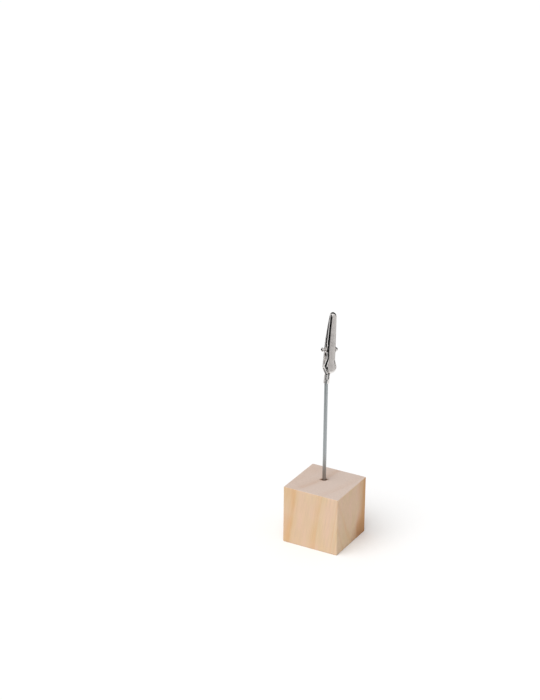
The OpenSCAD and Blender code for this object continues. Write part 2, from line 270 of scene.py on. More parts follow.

# %% [markdown]
# ## Stain, end grain and the hole
# Resin has seeped into one edge of the block and turned it orange brown. The top is end grain: its cells
# are cut across, so it looks greyer and pinker and hardly shines. Round the drilled hole the wood is torn,
# and brown is painted over the mouth and the splits: partly real browning, partly painted shade in the torn
# recess. They could be painted as a picture, but a picture has its own size and seams. Here each one is a
# mask worked out from the place in the block, and laid over the plain wood in turn.

# %% Softwood: resin stain
# It lies along the back right edge and reaches further from it towards the bottom
STAINED_EDGE = (15.2, 15.2, 0)
STAIN_REACH_HIGH, STAIN_REACH_LOW = 6.8, 20
apart = add(tree, "ShaderNodeSeparateXYZ", {0: pushed})
on_plan = add(tree, "ShaderNodeVectorMath", {0: in_mm, 1: (1, 1, 0)}, operation="MULTIPLY")
from_edge = add(tree, "ShaderNodeVectorMath", {0: on_plan, 1: STAINED_EDGE}, operation="DISTANCE")
reach = add(tree, "ShaderNodeMapRange", {"Value": apart.outputs["Z"], "From Min": 17, "From Max": -2,
                                         "To Min": STAIN_REACH_HIGH, "To Max": STAIN_REACH_LOW},
            interpolation_type="SMOOTHSTEP")
stain_share = add(tree, "ShaderNodeMath", {0: from_edge, 1: reach}, operation="DIVIDE")
blotch = add(tree, "ShaderNodeMath", {0: pattern["patch"], 1: 1.2, 2: -0.6}, operation="MULTIPLY_ADD")
stain_share = add(tree, "ShaderNodeMath", {0: stain_share, 1: blotch}, operation="ADD")
stain = add(tree, "ShaderNodeMapRange", {"Value": stain_share, "From Min": 1.3, "From Max": 0.1,
                                         "To Max": 0.9}, interpolation_type="SMOOTHSTEP")
resin = add(tree, "ShaderNodeMapRange", {"Value": apart.outputs["Z"], "From Min": 13, "From Max": 0})
resin = add(tree, "ShaderNodeMix", {"Factor": resin, 6: linear("#D19A62"), 7: linear("#A8713E")},
            data_type="RGBA")
long_grain = add(tree, "ShaderNodeMix", {"Factor": stain, 6: long_grain, 7: resin}, data_type="RGBA")
print("stain reaches in mm:", STAIN_REACH_HIGH, "high up and", STAIN_REACH_LOW, "low down")

# %% Softwood: end grain
# It shows on what faces up or down
facing = add(tree, "ShaderNodeSeparateXYZ", {0: spot.outputs["Normal"]})
upright = add(tree, "ShaderNodeMath", {0: facing.outputs["Z"]}, operation="ABSOLUTE")
is_end = add(tree, "ShaderNodeMapRange", {"Value": upright, "From Min": 0.55, "From Max": 0.95},
             interpolation_type="SMOOTHSTEP")
end_tone = add(tree, "ShaderNodeMapRange", {"Value": pattern["pore"], "From Min": 0.3, "From Max": 0.7,
                                            "To Min": 0.91, "To Max": 1.07})
end_late = add(tree, "ShaderNodeMath", {0: late_here, 1: 0.6}, operation="MULTIPLY")
end_grain = add(tree, "ShaderNodeMix", {"Factor": end_late, 6: linear("#D8C5B9"), 7: linear("#CCAC94")},
                data_type="RGBA")
end_grain = add(tree, "ShaderNodeVectorMath", {0: end_grain, 3: end_tone}, operation="SCALE")
wood = add(tree, "ShaderNodeMix", {"Factor": is_end, 6: long_grain, 7: end_grain}, data_type="RGBA")
print("pores of the end grain in mm:", PATTERNS["pore"][0])

# %% Softwood: the hole's mouth, with painted shade and real browning
# The drill has torn it. A ragged ring of brown is painted over it: partly real browning from fingers, partly
# painted shade down in the torn mouth
BROWN_RING, BROWN_CORE = 1.9, 1.0
hole_gap = add(tree, "ShaderNodeVectorMath", {0: on_plan, 1: (HOLE_X, HOLE_Y, 0)}, operation="DISTANCE")
ragged = add(tree, "ShaderNodeMath", {0: pattern["pore"], 1: 1.1, 2: -0.55}, operation="MULTIPLY_ADD")
hole_edge = add(tree, "ShaderNodeMath", {0: hole_gap, 1: ragged}, operation="ADD")
near_hole = add(tree, "ShaderNodeMapRange", {"Value": hole_edge, "From Min": BROWN_RING,
                                             "From Max": BROWN_CORE}, interpolation_type="SMOOTHSTEP")
# The painted brown, partly shade and partly browning, runs out along both splits, which lie on one line
# through the hole
SPLIT_TURN, SPLIT_REACH, SPLIT_WIDTH = radians(-29), 2.9, 1.25
from_hole = add(tree, "ShaderNodeVectorMath", {0: on_plan, 1: (HOLE_X, HOLE_Y, 0)}, operation="SUBTRACT")
along_split = add(tree, "ShaderNodeMapping", {"Vector": from_hole, "Rotation": (0, 0, SPLIT_TURN)})
squeezed = add(tree, "ShaderNodeVectorMath", {0: along_split, 1: (1 / SPLIT_REACH, 1 / SPLIT_WIDTH, 0)},
               operation="MULTIPLY")
split_share = add(tree, "ShaderNodeVectorMath", {0: squeezed}, operation="LENGTH")
ragged_split = add(tree, "ShaderNodeMath", {0: ragged, 1: 0.4, 2: split_share}, operation="MULTIPLY_ADD")
near_split = add(tree, "ShaderNodeMapRange", {"Value": ragged_split, "From Min": 1.0, "From Max": 0.35})
# Painted shade in the bore, the mouth and the splits, mixed with real browning
mouth_shade_and_browning = add(tree, "ShaderNodeMath", {0: near_hole, 1: near_split}, operation="MAXIMUM")
wood = add(tree, "ShaderNodeMix", {"Factor": mouth_shade_and_browning, 6: wood, 7: linear("#6E4427")}, data_type="RGBA")
tree.links.new(wood.outputs[2], shader.inputs["Base Color"])
print("brown ring round the hole in mm:", BROWN_RING)

# %% Softwood: sheen and relief
# Bare sanded wood is matt, and the dense late wood is a little smoother
matt = add(tree, "ShaderNodeMapRange", {"Value": late_here, "To Min": 0.72, "To Max": 0.55})
tree.links.new(matt.outputs[0], shader.inputs["Roughness"])
shader.inputs["IOR"].default_value = 1.45
relief = add(tree, "ShaderNodeMix", {"Factor": is_end, 2: pattern["fibre"], 3: pattern["pore"]})
bump = add(tree, "ShaderNodeBump", {"Height": relief, "Distance": 0.06 * MM, "Strength": 0.8})
tree.links.new(bump.outputs[0], shader.inputs["Normal"])
print("softwood nodes:", len(tree.nodes))

# %% [markdown]
# ## The block
# The block is one closed skin, built of rings that go from the bottom of the drilled hole up its wall, over
# the torn mouth, across the top, down the four sides and under the block to the middle of the underside.
# Each ring is drawn out from a circle at the hole to the square of the block, so every face is a small
# quad. A cube with a Bevel modifier and a drilled hole would be quicker, but all its edges would be alike.
# This way the sanded edges, the nicks in them and the splits beside the hole are real shape, not bump.

# %% Block: the square's outline
BORE_R, BORE_DEPTH = 0.92, 18.0
UPRIGHT_EDGE_R = 0.46
SIDE_STEPS, CORNER_STEPS = 60, 8
half = SIDE / 2


def square_outline():
    """Points round the block with the direction out of it, one rounded corner after each side."""
    spots = []
    for quarter in range(4):
        angle = quarter * pi / 2
        out, along = Vector((cos(angle), sin(angle))), Vector((-sin(angle), cos(angle)))
        reach = half - UPRIGHT_EDGE_R
        for step in range(SIDE_STEPS):
            spots.append((out * half + along * mix(-reach, reach, step / SIDE_STEPS), out))
        for step in range(CORNER_STEPS):
            turn = angle + pi / 2 * step / CORNER_STEPS
            way = Vector((cos(turn), sin(turn)))
            spots.append(((out + along) * reach + way * UPRIGHT_EDGE_R, way))
    return spots


outline = square_outline()
hole = Vector((HOLE_X, HOLE_Y))
print("points round the block:", len(outline))

# %% Block: how worn each spot is
# Radius of the sanded edge where it is neither nicked nor rubbed, and the mean depth and the width of the
# ridges in the side faces and of the pits in the top
EDGE_WEAR = 0.33
RIDGE_DEPTH, RIDGE_WIDTH = 0.018, 1.1
PIT_DEPTH, PIT_WIDTH = 0.02, 0.7
# How far a ridge leans sideways for each millimetre down, as the grain does
GRAIN_SLOPE = 0.14


def wear(x, y, z):
    """Radius of the sanded edge at a spot: small, with a few nicks."""
    slow = noise.noise(Vector((x, y, z)) / 6)
    nick = max(0.0, noise.noise(Vector((x, y, z + 40)) / 1.7) - 0.42)
    return min(UPRIGHT_EDGE_R - 0.02, EDGE_WEAR + 0.1 * slow + 0.5 * nick)


def fibre_relief(x, y, z):
    """How far sanding has sunk the soft early wood on a side face, in millimetres."""
    lean = x + y - GRAIN_SLOPE * (z - SIDE)
    ridge = noise.noise(Vector((lean / RIDGE_WIDTH, (x - y) / RIDGE_WIDTH, z / 30)))
    return RIDGE_DEPTH + RIDGE_DEPTH * ridge


def top_relief(x, y):
    return PIT_DEPTH + PIT_DEPTH * noise.noise(Vector((x / PIT_WIDTH, y / PIT_WIDTH, 3)))


# The mouth's radius, and for each split beside it the direction, the length and the half width in radians
MOUTH_R = 1.06
SPLITS = ((radians(212), 1.3, 0.3), (radians(27), 1.1, 0.26))


def mouth_radius(angle):
    """The mouth is torn wider on two sides, where the drill has split the wood."""
    split = sum(size * exp(-((angle - at + pi) % (2 * pi) - pi) ** 2 / spread ** 2)
                for at, size, spread in SPLITS)
    return MOUTH_R + split + 0.08 * noise.noise(Vector((cos(angle), sin(angle), 0)) * 3.1)


print("edge radius at the nearest corner in mm:", round(wear(half, -half, SIDE), 2))

# %% Block: rings of the bore, the mouth and the top
MOUTH_DEPTH = 1.1
CONE_LEN, CONE_TIP_R = 0.35, 0.05
rings = []
directions = [(spot - hole).normalized() for spot, _ in outline]
# The bore ends in a drill's cone and rises to the mouth
for depth, radius in [(BORE_DEPTH, CONE_TIP_R), (BORE_DEPTH - CONE_LEN, BORE_R)] + [
        (mix(BORE_DEPTH - 0.5, MOUTH_DEPTH + 0.1, s / 16), BORE_R) for s in range(17)]:
    rings.append([(*(hole + way * radius), SIDE - depth) for way in directions])
# The mouth: a ragged cone that flattens towards its torn edge
MOUTH_STEPS = 9
for step in range(MOUTH_STEPS + 1):
    share = step / MOUTH_STEPS
    line = []
    for way in directions:
        edge = mouth_radius(atan2(way.y, way.x))
        radius = mix(BORE_R, edge, share)
        crumb = 0.07 * noise.noise(Vector((way.x * radius, way.y * radius, share)) * 2.6) * sin(pi * share)
        x, y = hole + way * radius
        line.append((x, y, SIDE - MOUTH_DEPTH * (1 - share) ** 2.6 + crumb - top_relief(x, y) * share))
    rings.append(line)
# The top face, from the mouth to where the edges start to round
TOP_STEPS = 30
for step in range(1, TOP_STEPS + 1):
    share = (step / TOP_STEPS) ** 1.25
    line = []
    for way, (spot, out) in zip(directions, outline):
        inner = hole + way * mouth_radius(atan2(way.y, way.x))
        outer = spot - out * wear(spot.x, spot.y, SIDE)
        x, y = mix(inner, outer, share)
        line.append((x, y, SIDE - top_relief(x, y) * (1 - share ** 8)))
    rings.append(line)
print("rings down to the top's edge:", len(rings))

# %% Block: rings of the edges, the sides and the underside
# Over the top edge, down the sides and round the bottom edge
EDGE_STEPS, WALL_STEPS = 6, 48
for level, sign in ((SIDE, 1), (0, -1)):
    bends = []
    for step in range(1, EDGE_STEPS + 1):
        bend = pi / 2 * (1 - step / EDGE_STEPS)
        bends.append([(*(spot - out * r * (1 - cos(bend))), level - sign * r * (1 - sin(bend)))
                      for spot, out in outline for r in [wear(spot.x, spot.y, level)]])
    if sign > 0:
        rings += bends
        for step in range(1, WALL_STEPS):
            z_share = step / WALL_STEPS
            line = []
            for spot, out in outline:
                z = mix(SIDE - wear(spot.x, spot.y, SIDE), wear(spot.x, spot.y, 0), z_share)
                sunk = fibre_relief(spot.x, spot.y, z) * min(1, 12 * z_share * (1 - z_share))
                line.append((*(spot - out * sunk), z))
            rings.append(line)
    else:
        rings += bends[::-1]
# The underside, which is a little hollow
HOLLOW = 0.01
rings.append([(*(spot - out * wear(spot.x, spot.y, 0)), 0) for spot, out in outline])
for share in (0.9, 0.7, 0.45, 0.2, 0.02):
    rings.append([(*(spot * share), HOLLOW) for spot, _ in outline])
print("rings in all:", len(rings))

# %% Block: its faces
def ring_quads(rings, around):
    """Faces between closed rings of points that follow one another, all with the same number of points."""
    return [(a + i, a + (i + 1) % around, b + (i + 1) % around, b + i)
            for a, b in ((r * around, (r + 1) * around) for r in range(rings - 1)) for i in range(around)]


around = len(outline)
points = [p for line in rings for p in line]
faces = ring_quads(len(rings), around)
faces += [tuple(range(around)), tuple((len(rings) - 1) * around + i for i in range(around))]
wooden_block = make_piece("wooden_block", points, faces, pine, sharp_degrees=60)
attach(wooden_block, "stand")
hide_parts("base_block")

# %% [markdown]
# ## Zinc-grey wire
# The stem is drawn steel wire with a thin, dull coat of zinc. Drawing through a die leaves fine lines along
# the wire, and zinc goes blue grey with small lighter and darker flecks. The lines are far too fine to model,
# so a bump gives them, and the flecks change both the colour and the roughness.

# %% Material of the stem
zinc_wire, tree, shader = new_material("zinc_coated_drawn_wire")
spot = add(tree, "ShaderNodeTexCoord").outputs["Object"]
# Draw lines are hundredths of a millimetre wide: drawn here as 0.12 mm wide and 6 mm long
line_at = add(tree, "ShaderNodeMapping", {"Vector": spot, "Scale": patch_scale(0.12 * MM, 6 * MM)})
draw_lines = add(tree, "ShaderNodeTexNoise", {"Vector": line_at, "Scale": 1.0, "Detail": 2.0})
# Flecks in the zinc, about 1.5 mm long
fleck_at = add(tree, "ShaderNodeMapping", {"Vector": spot, "Scale": patch_scale(0.7 * MM, 1.5 * MM)})
flecks = add(tree, "ShaderNodeTexNoise", {"Vector": fleck_at, "Scale": 1.0, "Detail": 3.0})
tone = add(tree, "ShaderNodeMix", {"Factor": flecks, 6: linear("#A2A8AA"), 7: linear("#B4B9BA")},
           data_type="RGBA")
# Handling has left a faint brown film just above the block, which fades out at this height
FILM_TOP = 46
height = add(tree, "ShaderNodeSeparateXYZ", {0: spot})
low = add(tree, "ShaderNodeMapRange", {"Value": height.outputs["Z"], "From Min": FILM_TOP * MM,
                                       "From Max": SIDE * MM}, interpolation_type="SMOOTHSTEP")
film = add(tree, "ShaderNodeMath", {0: low, 1: flecks}, operation="MULTIPLY")
tone = add(tree, "ShaderNodeMix", {"Factor": film, 6: tone, 7: linear("#93857A")}, data_type="RGBA")
tree.links.new(tone.outputs[2], shader.inputs["Base Color"])
shader.inputs["Metallic"].default_value = 1.0
dull = add(tree, "ShaderNodeMapRange", {"Value": flecks, "To Min": 0.3, "To Max": 0.46})
tree.links.new(dull.outputs[0], shader.inputs["Roughness"])
bump = add(tree, "ShaderNodeBump", {"Height": draw_lines, "Distance": 0.01 * MM, "Strength": 0.5})
tree.links.new(bump.outputs[0], shader.inputs["Normal"])
print("zinc nodes:", len(tree.nodes))

# %% [markdown]
# ## Wire made by Geometry Nodes
# The stem and the spring are both round wire bent along a path. A small Geometry Nodes tree does that for
# both: it reads a path of edges, spaces points evenly along it, sweeps a circle and rounds the cut ends.
# A curve object with a round bevel would look the same but for the ends. The tree can do both, and as the
# wire's size is one of its inputs, it makes a thick wire and a thin one.

# %% Geometry Nodes tree for wire
wire_tree = bpy.data.node_groups.new("bent_wire", "GeometryNodeTree")
wire_interface = wire_tree.interface
wire_interface.new_socket("Path", in_out="INPUT", socket_type="NodeSocketGeometry")
wire_sockets = {}
for name, kind in (("Wire radius", "Float"), ("Spacing", "Float"), ("Sides", "Int"), ("Cut edge", "Float"),
                   ("Finish", "Material")):
    socket = wire_interface.new_socket(name, in_out="INPUT", socket_type="NodeSocket" + kind)
    wire_sockets[name] = socket.identifier
wire_interface.new_socket("Wire", in_out="OUTPUT", socket_type="NodeSocketGeometry")
given = add(wire_tree, "NodeGroupInput")
curve = add(wire_tree, "GeometryNodeMeshToCurve", {"Mesh": given.outputs["Path"]})
even = add(wire_tree, "GeometryNodeResampleCurve", {"Curve": curve, "Length": given.outputs["Spacing"]},
           mode="LENGTH")
# The cut ends are a little narrower, over the length of the cut edge
along = add(wire_tree, "GeometryNodeSplineParameter")
whole = add(wire_tree, "GeometryNodeSplineLength")
to_end = add(wire_tree, "ShaderNodeMath", {0: whole.outputs["Length"], 1: along.outputs["Length"]},
             operation="SUBTRACT")
nearest_end = add(wire_tree, "ShaderNodeMath", {0: along.outputs["Length"], 1: to_end}, operation="MINIMUM")
end_share = add(wire_tree, "ShaderNodeMapRange", {"Value": nearest_end,
                                                  "From Max": given.outputs["Cut edge"], "To Min": 0.82,
                                                  "To Max": 1.0})
circle = add(wire_tree, "GeometryNodeCurvePrimitiveCircle",
             {"Resolution": given.outputs["Sides"], "Radius": given.outputs["Wire radius"]})
swept = add(wire_tree, "GeometryNodeCurveToMesh", {"Curve": even, "Profile Curve": circle, "Scale": end_share,
                                                   "Fill Caps": True})
real = add(wire_tree, "GeometryNodeRealizeInstances", {"Geometry": swept})
painted = add(wire_tree, "GeometryNodeSetMaterial", {"Geometry": real, "Material": given.outputs["Finish"]})
add(wire_tree, "NodeGroupOutput", {"Wire": painted})
print("inputs of the wire tree:", list(wire_sockets))

# %% A piece of wire
def apply_modifiers(piece):
    """Turns what the modifiers make into the piece's own plain mesh."""
    graph = bpy.context.evaluated_depsgraph_get()
    result = bpy.data.meshes.new_from_object(piece.evaluated_get(graph))
    piece.modifiers.clear()
    piece.data = result


def bent_wire(name, path, radius, spacing, sides, cut_edge, finish):
    """Sweeps wire along a path of points in millimetres and returns it as a plain mesh."""
    mesh = bpy.data.meshes.new(name)
    mesh.from_pydata([Vector(p) * MM for p in path], [(i, i + 1) for i in range(len(path) - 1)], [])
    wire = bpy.data.objects.new(name, mesh)
    scene.collection.objects.link(wire)
    nodes = wire.modifiers.new("wire", "NODES")
    nodes.node_group = wire_tree
    for socket, value in (("Wire radius", radius * MM), ("Spacing", spacing * MM), ("Sides", sides),
                          ("Cut edge", cut_edge * MM), ("Finish", finish)):
        nodes[wire_sockets[socket]] = value
    apply_modifiers(wire)
    finish_shading(wire)
    length = sum((Vector(b) - Vector(a)).length for a, b in zip(path, path[1:]))
    print(f"{name}: {length:.1f} mm of wire, {len(wire.data.polygons)} faces")
    return wire


# %% [markdown]
# ## The clip's own frame
# The clip is turned on the wire and leans a little, so its pieces are drawn in a frame of their own: X along
# the hinge pin, -Y out of the clip's front, and Z towards its tip. The joint in the frame gives the pin's
# place and direction, and with them this frame.

# %% Clip frame from the joint
hinge = next(joint for joint in frame["joints"] if joint["name"] == "jaw_hinge")
PIN_FORWARD, PIN_UP = 0.6, 17.6
clip_x = Vector(hinge["axis"]).normalized()
clip_y = Vector((0, 0, 1)).cross(clip_x).normalized()
clip_z = clip_x.cross(clip_y)
pin_place = Vector(hinge["pos_m"]) / MM
clip_base = pin_place + clip_y * PIN_FORWARD - clip_z * PIN_UP


def from_pin(x, y, z):
    """A point measured in the clip's frame from the middle of its pin, in millimetres."""
    return pin_place + clip_x * x + clip_y * y + clip_z * z


kink = acos(clip_z.z)
print("clip starts at", [round(v, 2) for v in clip_base], "mm and leans", round(degrees(kink), 1), "degrees")

# %% The stem
WIRE_R = 0.9
KINK_R, KINK_STEPS = 8.0, 6
WIRE_IN_CLIP = 5.0
BORE_FLOOR_GAP = 0.4
trim = KINK_R * tan(kink / 2)
stem_path = [Vector((HOLE_X, HOLE_Y, z))
             for z in (SIDE - BORE_DEPTH + BORE_FLOOR_GAP, 20, SIDE, 50, 70, clip_base.z - trim)]
start, end = clip_base - Vector((0, 0, trim)), clip_base + clip_z * trim
for step in range(1, KINK_STEPS + 1):
    share = step / KINK_STEPS
    stem_path.append(start * (1 - share) ** 2 + clip_base * 2 * share * (1 - share) + end * share ** 2)
stem_path.append(clip_base + clip_z * WIRE_IN_CLIP)
stem_wire = bent_wire("stem_wire", stem_path, WIRE_R, spacing=0.25, sides=40, cut_edge=0.25, finish=zinc_wire)
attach(stem_wire, "stand")
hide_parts("stem_rod")

# %% [markdown]
# ## Nickel-plated sheet
# The clip is pressed from steel sheet 0.4 mm thick, with the soft edges that a press tool leaves, and
# then plated with bright nickel. Nickel is a slightly warm mirror. The flats carry faint waves and fine
# scratches, so a reflection in them is soft, and the tight folds show as crisp dark and light lines. One
# even roughness would look like plastic film, so haze, scratches and waves are made apart and added up.

# %% Material of the clip
nickel, tree, shader = new_material("bright_nickel_plated_steel")
spot = add(tree, "ShaderNodeTexCoord").outputs["Object"]
# Handling haze, in patches of 2 mm
haze = add(tree, "ShaderNodeTexNoise", {"Vector": spot, "Scale": 1 / 2 / MM, "Detail": 3.0})
tone = add(tree, "ShaderNodeMix", {"Factor": haze, 6: linear("#E0DCDA"), 7: linear("#ECE9E6")},
           data_type="RGBA")
shader.inputs["Metallic"].default_value = 1.0
# Hairline scratches: hundredths of a millimetre on the real sheet, here 0.08 mm wide and 2.5 mm long
scratch_at = add(tree, "ShaderNodeMapping", {"Vector": spot, "Rotation": (0, radians(14), 0),
                                             "Scale": patch_scale(0.08 * MM, 2.5 * MM)})
scratches = add(tree, "ShaderNodeTexNoise", {"Vector": scratch_at, "Scale": 1.0, "Detail": 2.0})
scuffed = add(tree, "ShaderNodeMapRange", {"Value": scratches, "From Min": 0.5, "From Max": 0.75})
rough = add(tree, "ShaderNodeMath", {0: haze, 1: 0.12, 2: 0.05}, operation="MULTIPLY_ADD")
rough = add(tree, "ShaderNodeMath", {0: scuffed, 1: 0.08, 2: rough}, operation="MULTIPLY_ADD")
print("nickel nodes for the flats:", len(tree.nodes))

# %% Material of the clip: the scuffed crimp and the relief
# The crimp was hammered round the wire, so it is scuffed, in flecks of 0.4 mm. The scuffs fade out below
# this height above the clip's lower end
CRIMP_TOP, CRIMP_FADE = 5.2, 1.2
crimp_level = clip_base.dot(clip_z) + CRIMP_TOP
up_clip = add(tree, "ShaderNodeVectorMath", {0: spot, 1: tuple(clip_z)}, operation="DOT_PRODUCT")
crimped = add(tree, "ShaderNodeMapRange", {"Value": up_clip, "From Min": crimp_level * MM,
                                           "From Max": (crimp_level - CRIMP_FADE) * MM},
              interpolation_type="SMOOTHSTEP")
dents = add(tree, "ShaderNodeTexNoise", {"Vector": spot, "Scale": 1 / 0.4 / MM, "Detail": 2.0})
dent_tone = add(tree, "ShaderNodeMix", {"Factor": dents, 6: linear("#DEDAD7"), 7: linear("#FCF9F6")},
                data_type="RGBA")
tone = add(tree, "ShaderNodeMix", {"Factor": crimped, 6: tone, 7: dent_tone}, data_type="RGBA")
tree.links.new(tone.outputs[2], shader.inputs["Base Color"])
rough = add(tree, "ShaderNodeMath", {0: crimped, 1: 0.2, 2: rough}, operation="MULTIPLY_ADD")
tree.links.new(rough.outputs[0], shader.inputs["Roughness"])
# Waves that the press leaves, about 3 mm long and a few thousandths deep
waves = add(tree, "ShaderNodeTexNoise", {"Vector": spot, "Scale": 1 / 3 / MM, "Detail": 1.0})
wave_bump = add(tree, "ShaderNodeBump", {"Height": waves, "Distance": 0.05 * MM, "Strength": 0.6})
bump = add(tree, "ShaderNodeBump", {"Height": scratches, "Distance": 0.002 * MM, "Strength": 0.3,
                                    "Normal": wave_bump})
tree.links.new(bump.outputs[0], shader.inputs["Normal"])
print("nickel nodes:", len(tree.nodes))

# %% [markdown]
# ## Pressed sheet as ribs
# Both jaws are one piece of sheet each: a flat, a fold along both long sides, and a wall that ends in a rim.
# A rib is the sheet's section at one point of the jaw's outline. Ribs are set square to the outline, close
# together, and one skin is stretched over them. It gives round folds that follow the pad and the nose, which
# a plain extrusion can't do, and a constant thickness with soft rims.

# %% Sizes of the clip
# All in millimetres. The sheet's thickness, the radius of its folds and the rounding of its rims
SHEET, FOLD_R, RIM_R = 0.4, 0.8, 0.1
# Both jaws: length above the pin, width of the nose and over the ears, and radius of an ear
JAW_LEN, NOSE_W, EAR_W, EAR_R = 18.4, 3.0, 5.0, 1.45
# Fixed jaw: lengths of its crimp and its neck, width and height of its channel
CRIMP_LEN, NECK_LEN, CHANNEL_W, CHANNEL_H = 4.4, 3.4, 4.9, 1.55
# Moving jaw: width of its waist, length of its lever, fold of its pad and the pad's play over the channel
WAIST_W, LEVER_LEN, PAD_FOLD_R, PAD_GAP = 3.9, 10.9, 1.3, 0.15
# How far the front flat lies before the pin, how far the rear one and the bite lie behind it, and the gap
# between the rims of the closed jaws
FACE_D, BACK_D, BITE_D, BITE_GAP = 2.4, 2.4, 0.5, 0.1
# How far these go back or forward for each millimetre along the clip
FACE_SLOPE, LEVER_SLOPE, BACK_SLOPE, BITE_SLOPE = (tan(radians(a)) for a in (7.4, 12, 0.8, 3.4))
# Height of the lever's walls and of the pad's rim, and play between the ears of both jaws
RIM_D, PAD_RIM_D, EAR_GAP = 2.0, 1.5, 0.05
# Diameter of the pin and its play in the holes
PIN_D, PIN_GAP = 1.3, 0.05
# Faces round a fold
FOLD_STEPS = 14
CRIMP_GAP = 0.03
crimp_half = WIRE_R + CRIMP_GAP + SHEET
crimp_z = CRIMP_LEN - PIN_UP
channel_z = crimp_z + NECK_LEN
nose_r = NOSE_W / 2
pad_r = CHANNEL_W / 2 + PAD_GAP + SHEET
pad_z = pad_r - LEVER_LEN
jaw_w = EAR_W - 2 * (SHEET + EAR_GAP)
waist_z = pad_z + pad_r + 0.6


def face(z):
    """How far the moving jaw's flat lies in front of the pin."""
    return FACE_D - z * (FACE_SLOPE if z > 0 else LEVER_SLOPE)


def behind(z):
    """How far the fixed jaw's flat lies behind the pin."""
    return mix(PIN_FORWARD + crimp_half, BACK_D + max(0, z) * BACK_SLOPE, eased(z, crimp_z, channel_z))


def bite(z):
    return BITE_D + z * BITE_SLOPE


print("clip length in mm:", PIN_UP + JAW_LEN)

# %% Rims
def with_ear(z, plain):
    """Adds the round ear at the pin to a rim, with a small fillet where it starts."""
    ear = -sqrt(EAR_R ** 2 - z * z) if abs(z) < EAR_R else (abs(z) - EAR_R) * 4
    soft = 0.3
    blend = max(0.0, soft - abs(plain - ear)) / soft
    return min(plain, ear) - blend * blend * soft / 4


def jaw_rim(z):
    lever = face(z) - mix(RIM_D, PAD_RIM_D, eased(-z, -pad_z, LEVER_LEN))
    return with_ear(z, mix(lever, -bite(z) + BITE_GAP / 2, eased(z, -0.6, 0.6)))


def fixed_rim(z):
    return with_ear(z, mix(behind(z) - CHANNEL_H, bite(z) + BITE_GAP / 2, eased(z, -0.6, 0.6)))


def wall_length(depth, r, bend):
    """Length of a wall from the end of its fold to its rim, which lies the given depth under the flat."""
    return (depth - r * (1 - cos(bend))) / sin(bend)


print("the moving jaw's rim lies before the pin, at the pad's middle, by", round(jaw_rim(pad_z), 2), "mm")

# %% Arcs and rounded lines
def arc(centre_z, r, start, end, steps):
    return [(r * cos(a), centre_z + r * sin(a)) for i in range(steps + 1)
            for a in [radians(mix(start, end, i / steps))]]


def rounded_line(corners, spacing=0.16, rounds=8):
    """Evenly spaced points along a line of corners, with the corners rounded as a press tool rounds them."""
    corners = [Vector(c) for c in corners]
    lengths = [(b - a).length for a, b in zip(corners, corners[1:])]
    count = round(sum(lengths) / spacing)
    line, i, passed = [], 0, 0.0
    for step in range(count + 1):
        along = sum(lengths) * step / count
        while i < len(lengths) - 1 and along > passed + lengths[i]:
            passed += lengths[i]
            i += 1
        line.append(corners[i].lerp(corners[i + 1], min(1, (along - passed) / lengths[i])))
    for _ in range(rounds):
        line = [line[0]] + [(a + 2 * b + c) / 4 for a, b, c in zip(line, line[1:], line[2:])] + [line[-1]]
    return line


CAP = 86
ears = [EAR_R * sin(radians(a)) for a in range(-90, 91, 15)]
nose = arc(JAW_LEN - nose_r, nose_r, 0, CAP, 10)


def above_ears(share):
    return mix(EAR_R, JAW_LEN - nose_r, share)


print("nose radius in mm:", nose_r)

# %% Outlines of the two jaws
jaw_outline = rounded_line(
    arc(pad_z, pad_r, -CAP, 26, 16)
    + [(mix(WAIST_W / 2, pad_r, 0.5), pad_z + pad_r * 0.7), (mix(WAIST_W / 2, pad_r, 0.14), pad_z + pad_r)]
    + [(WAIST_W / 2, waist_z), (mix(WAIST_W, jaw_w, 0.5) / 2, mix(waist_z, -EAR_R, 0.6))]
    + [(jaw_w / 2, z) for z in ears]
    + [(mix(jaw_w / 2, nose_r, s), above_ears(s)) for s in (0.04, 0.12, 0.4, 0.7)] + nose)
SEAM_FROM, SEAM_TO = (mix(-PIN_UP, crimp_z, s) for s in (0.25, 0.65))
neck = [mix(crimp_z, channel_z, i / 6) for i in range(7)]
crimp_side = crimp_half + 0.05
fixed_outline = rounded_line(
    [(crimp_side, z) for z in (-PIN_UP, SEAM_FROM, (SEAM_FROM + SEAM_TO) / 2, SEAM_TO)]
    + [(mix(crimp_side, CHANNEL_W / 2, eased(z, crimp_z, channel_z)), z) for z in neck]
    + [(CHANNEL_W / 2, (channel_z - EAR_R) / 2), (mix(CHANNEL_W, EAR_W, 0.6) / 2, -EAR_R - 0.6)]
    + [(EAR_W / 2, z) for z in ears]
    + [(mix(EAR_W / 2, nose_r, s ** 1.5), above_ears(s)) for s in (0.05, 0.3, 0.65)] + nose)
print("ribs:", len(jaw_outline), "in the moving jaw,", len(fixed_outline), "in the fixed one")

# %% One rib of the sheet
# The rounded rim, as (back from the wall's end, depth through the sheet)
RIM = [(RIM_R, 0), (0.3 * RIM_R, 0.3 * RIM_R), (0, RIM_R), (0, SHEET - RIM_R),
       (0.3 * RIM_R, SHEET - 0.3 * RIM_R), (RIM_R, SHEET)]


def section(r, bend, wall):
    """One side of the sheet as (inset from the outline, depth under the flat): out, round the rim, back."""
    turns = [bend * k / FOLD_STEPS for k in range(FOLD_STEPS + 1)]
    outer = [(r - r * sin(a), r - r * cos(a)) for a in turns[:-1]]
    inner = [(r - (r - SHEET) * sin(a), r - (r - SHEET) * cos(a)) for a in turns[-2::-1]]
    end = Vector((r - r * sin(bend), r - r * cos(bend)))
    down, through = Vector((-cos(bend), sin(bend))), Vector((sin(bend), cos(bend)))
    rim = [tuple(end + down * (wall - back_off) + through * deep) for back_off, deep in RIM]
    return outer + rim + inner


